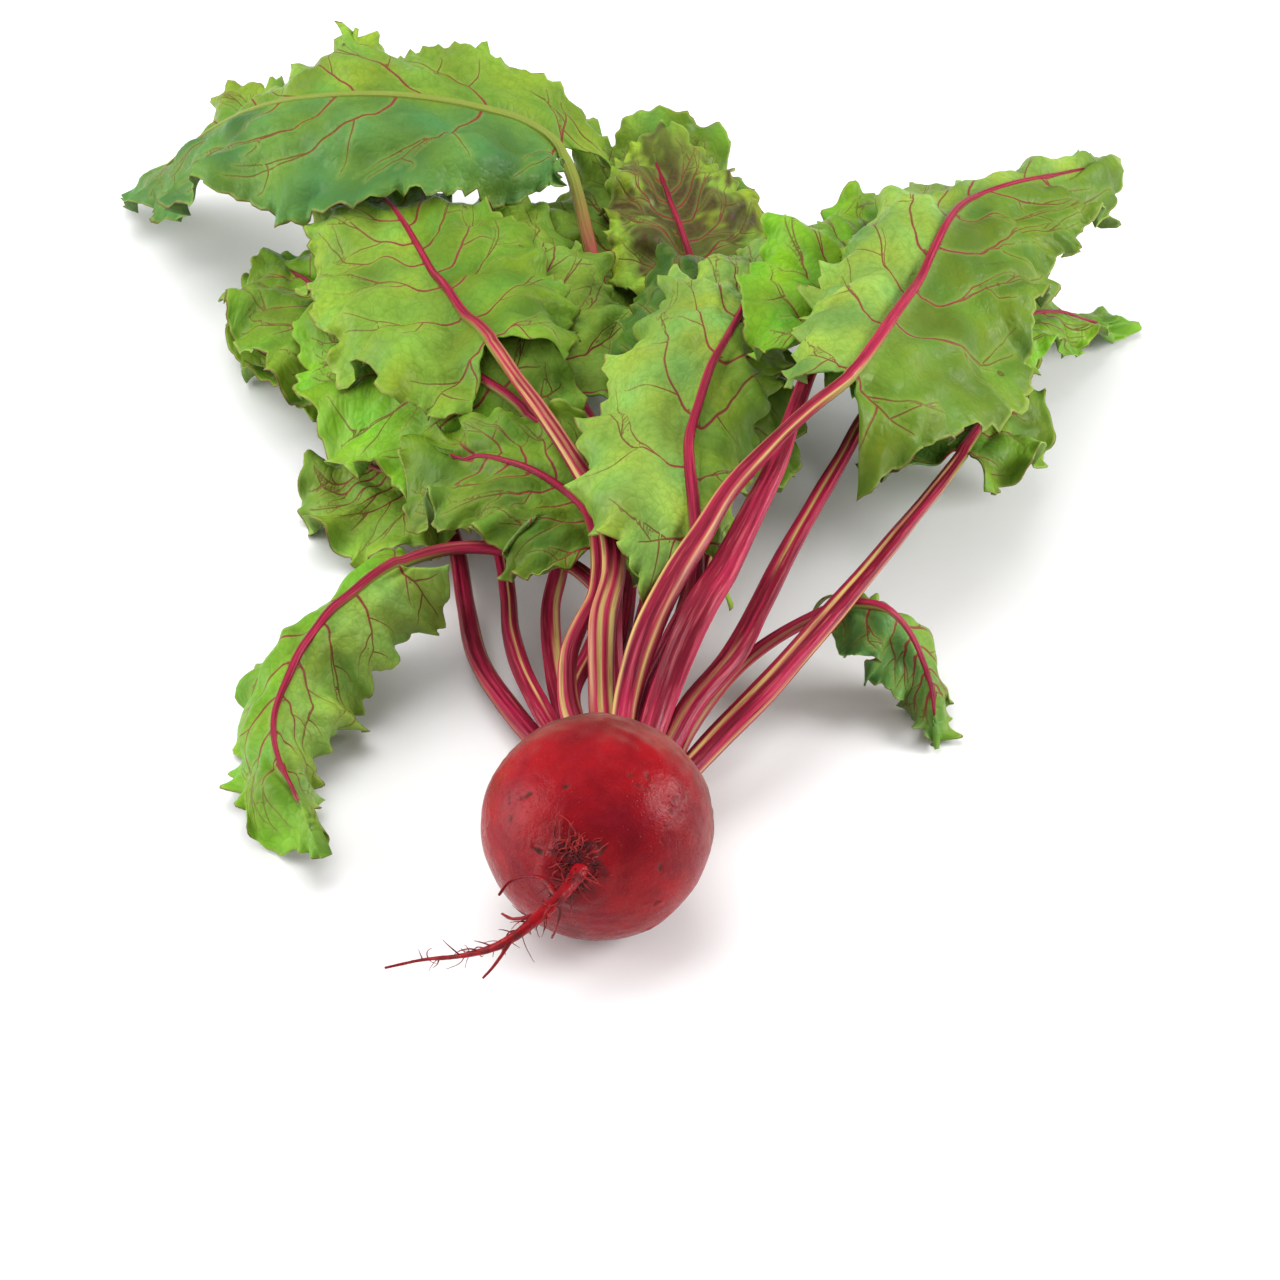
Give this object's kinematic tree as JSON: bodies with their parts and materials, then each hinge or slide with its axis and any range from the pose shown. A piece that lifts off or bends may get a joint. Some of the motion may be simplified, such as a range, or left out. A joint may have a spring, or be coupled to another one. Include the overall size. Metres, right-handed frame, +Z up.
{
  "type": "beetroot",
  "caption": "Fresh beetroot as picked, lying on its side: a round crimson root with its tap root and a full head of long red stalks with waved green leaves.",
  "frame": {"origin": "centre of the small flat spot that the round root rests on, on the table", "axes": "+Z up from the table, +Y from the root out along its head of leaves, +X to the right of the leaves seen from the tap root's end"},
  "size_m": [0.4097, 0.4835, 0.1114],
  "materials": {
    "skin": "satin",
    "stalk": "satin",
    "blade": "satin"
  },
  "bodies": {
    "root": {"root": "skin", "leaf_01_stalk": "stalk", "leaf_01_blade": "blade", "leaf_02_stalk": "stalk", "leaf_02_blade": "blade", "leaf_03_stalk": "stalk", "leaf_03_blade": "blade", "leaf_04_stalk": "stalk", "leaf_04_blade": "blade", "leaf_05_stalk": "stalk", "leaf_05_blade": "blade", "leaf_06_stalk": "stalk", "leaf_06_blade": "blade", "leaf_07_stalk": "stalk", "leaf_07_blade": "blade", "leaf_08_stalk": "stalk", "leaf_08_blade": "blade", "leaf_09_stalk": "stalk", "leaf_09_blade": "blade", "leaf_10_stalk": "stalk", "leaf_10_blade": "blade", "leaf_11_stalk": "stalk", "leaf_11_blade": "blade", "leaf_12_stalk": "stalk", "leaf_12_blade": "blade", "leaf_13_stalk": "stalk", "leaf_13_blade": "blade", "leaf_14_stalk": "stalk", "leaf_14_blade": "blade", "leaf_15_stalk": "stalk", "leaf_15_blade": "blade", "leaf_16_stalk": "stalk", "leaf_16_blade": "blade", "leaf_17_stalk": "stalk", "leaf_17_blade": "blade", "leaf_18_stalk": "stalk", "leaf_18_blade": "blade"}
  },
  "joints": []
}
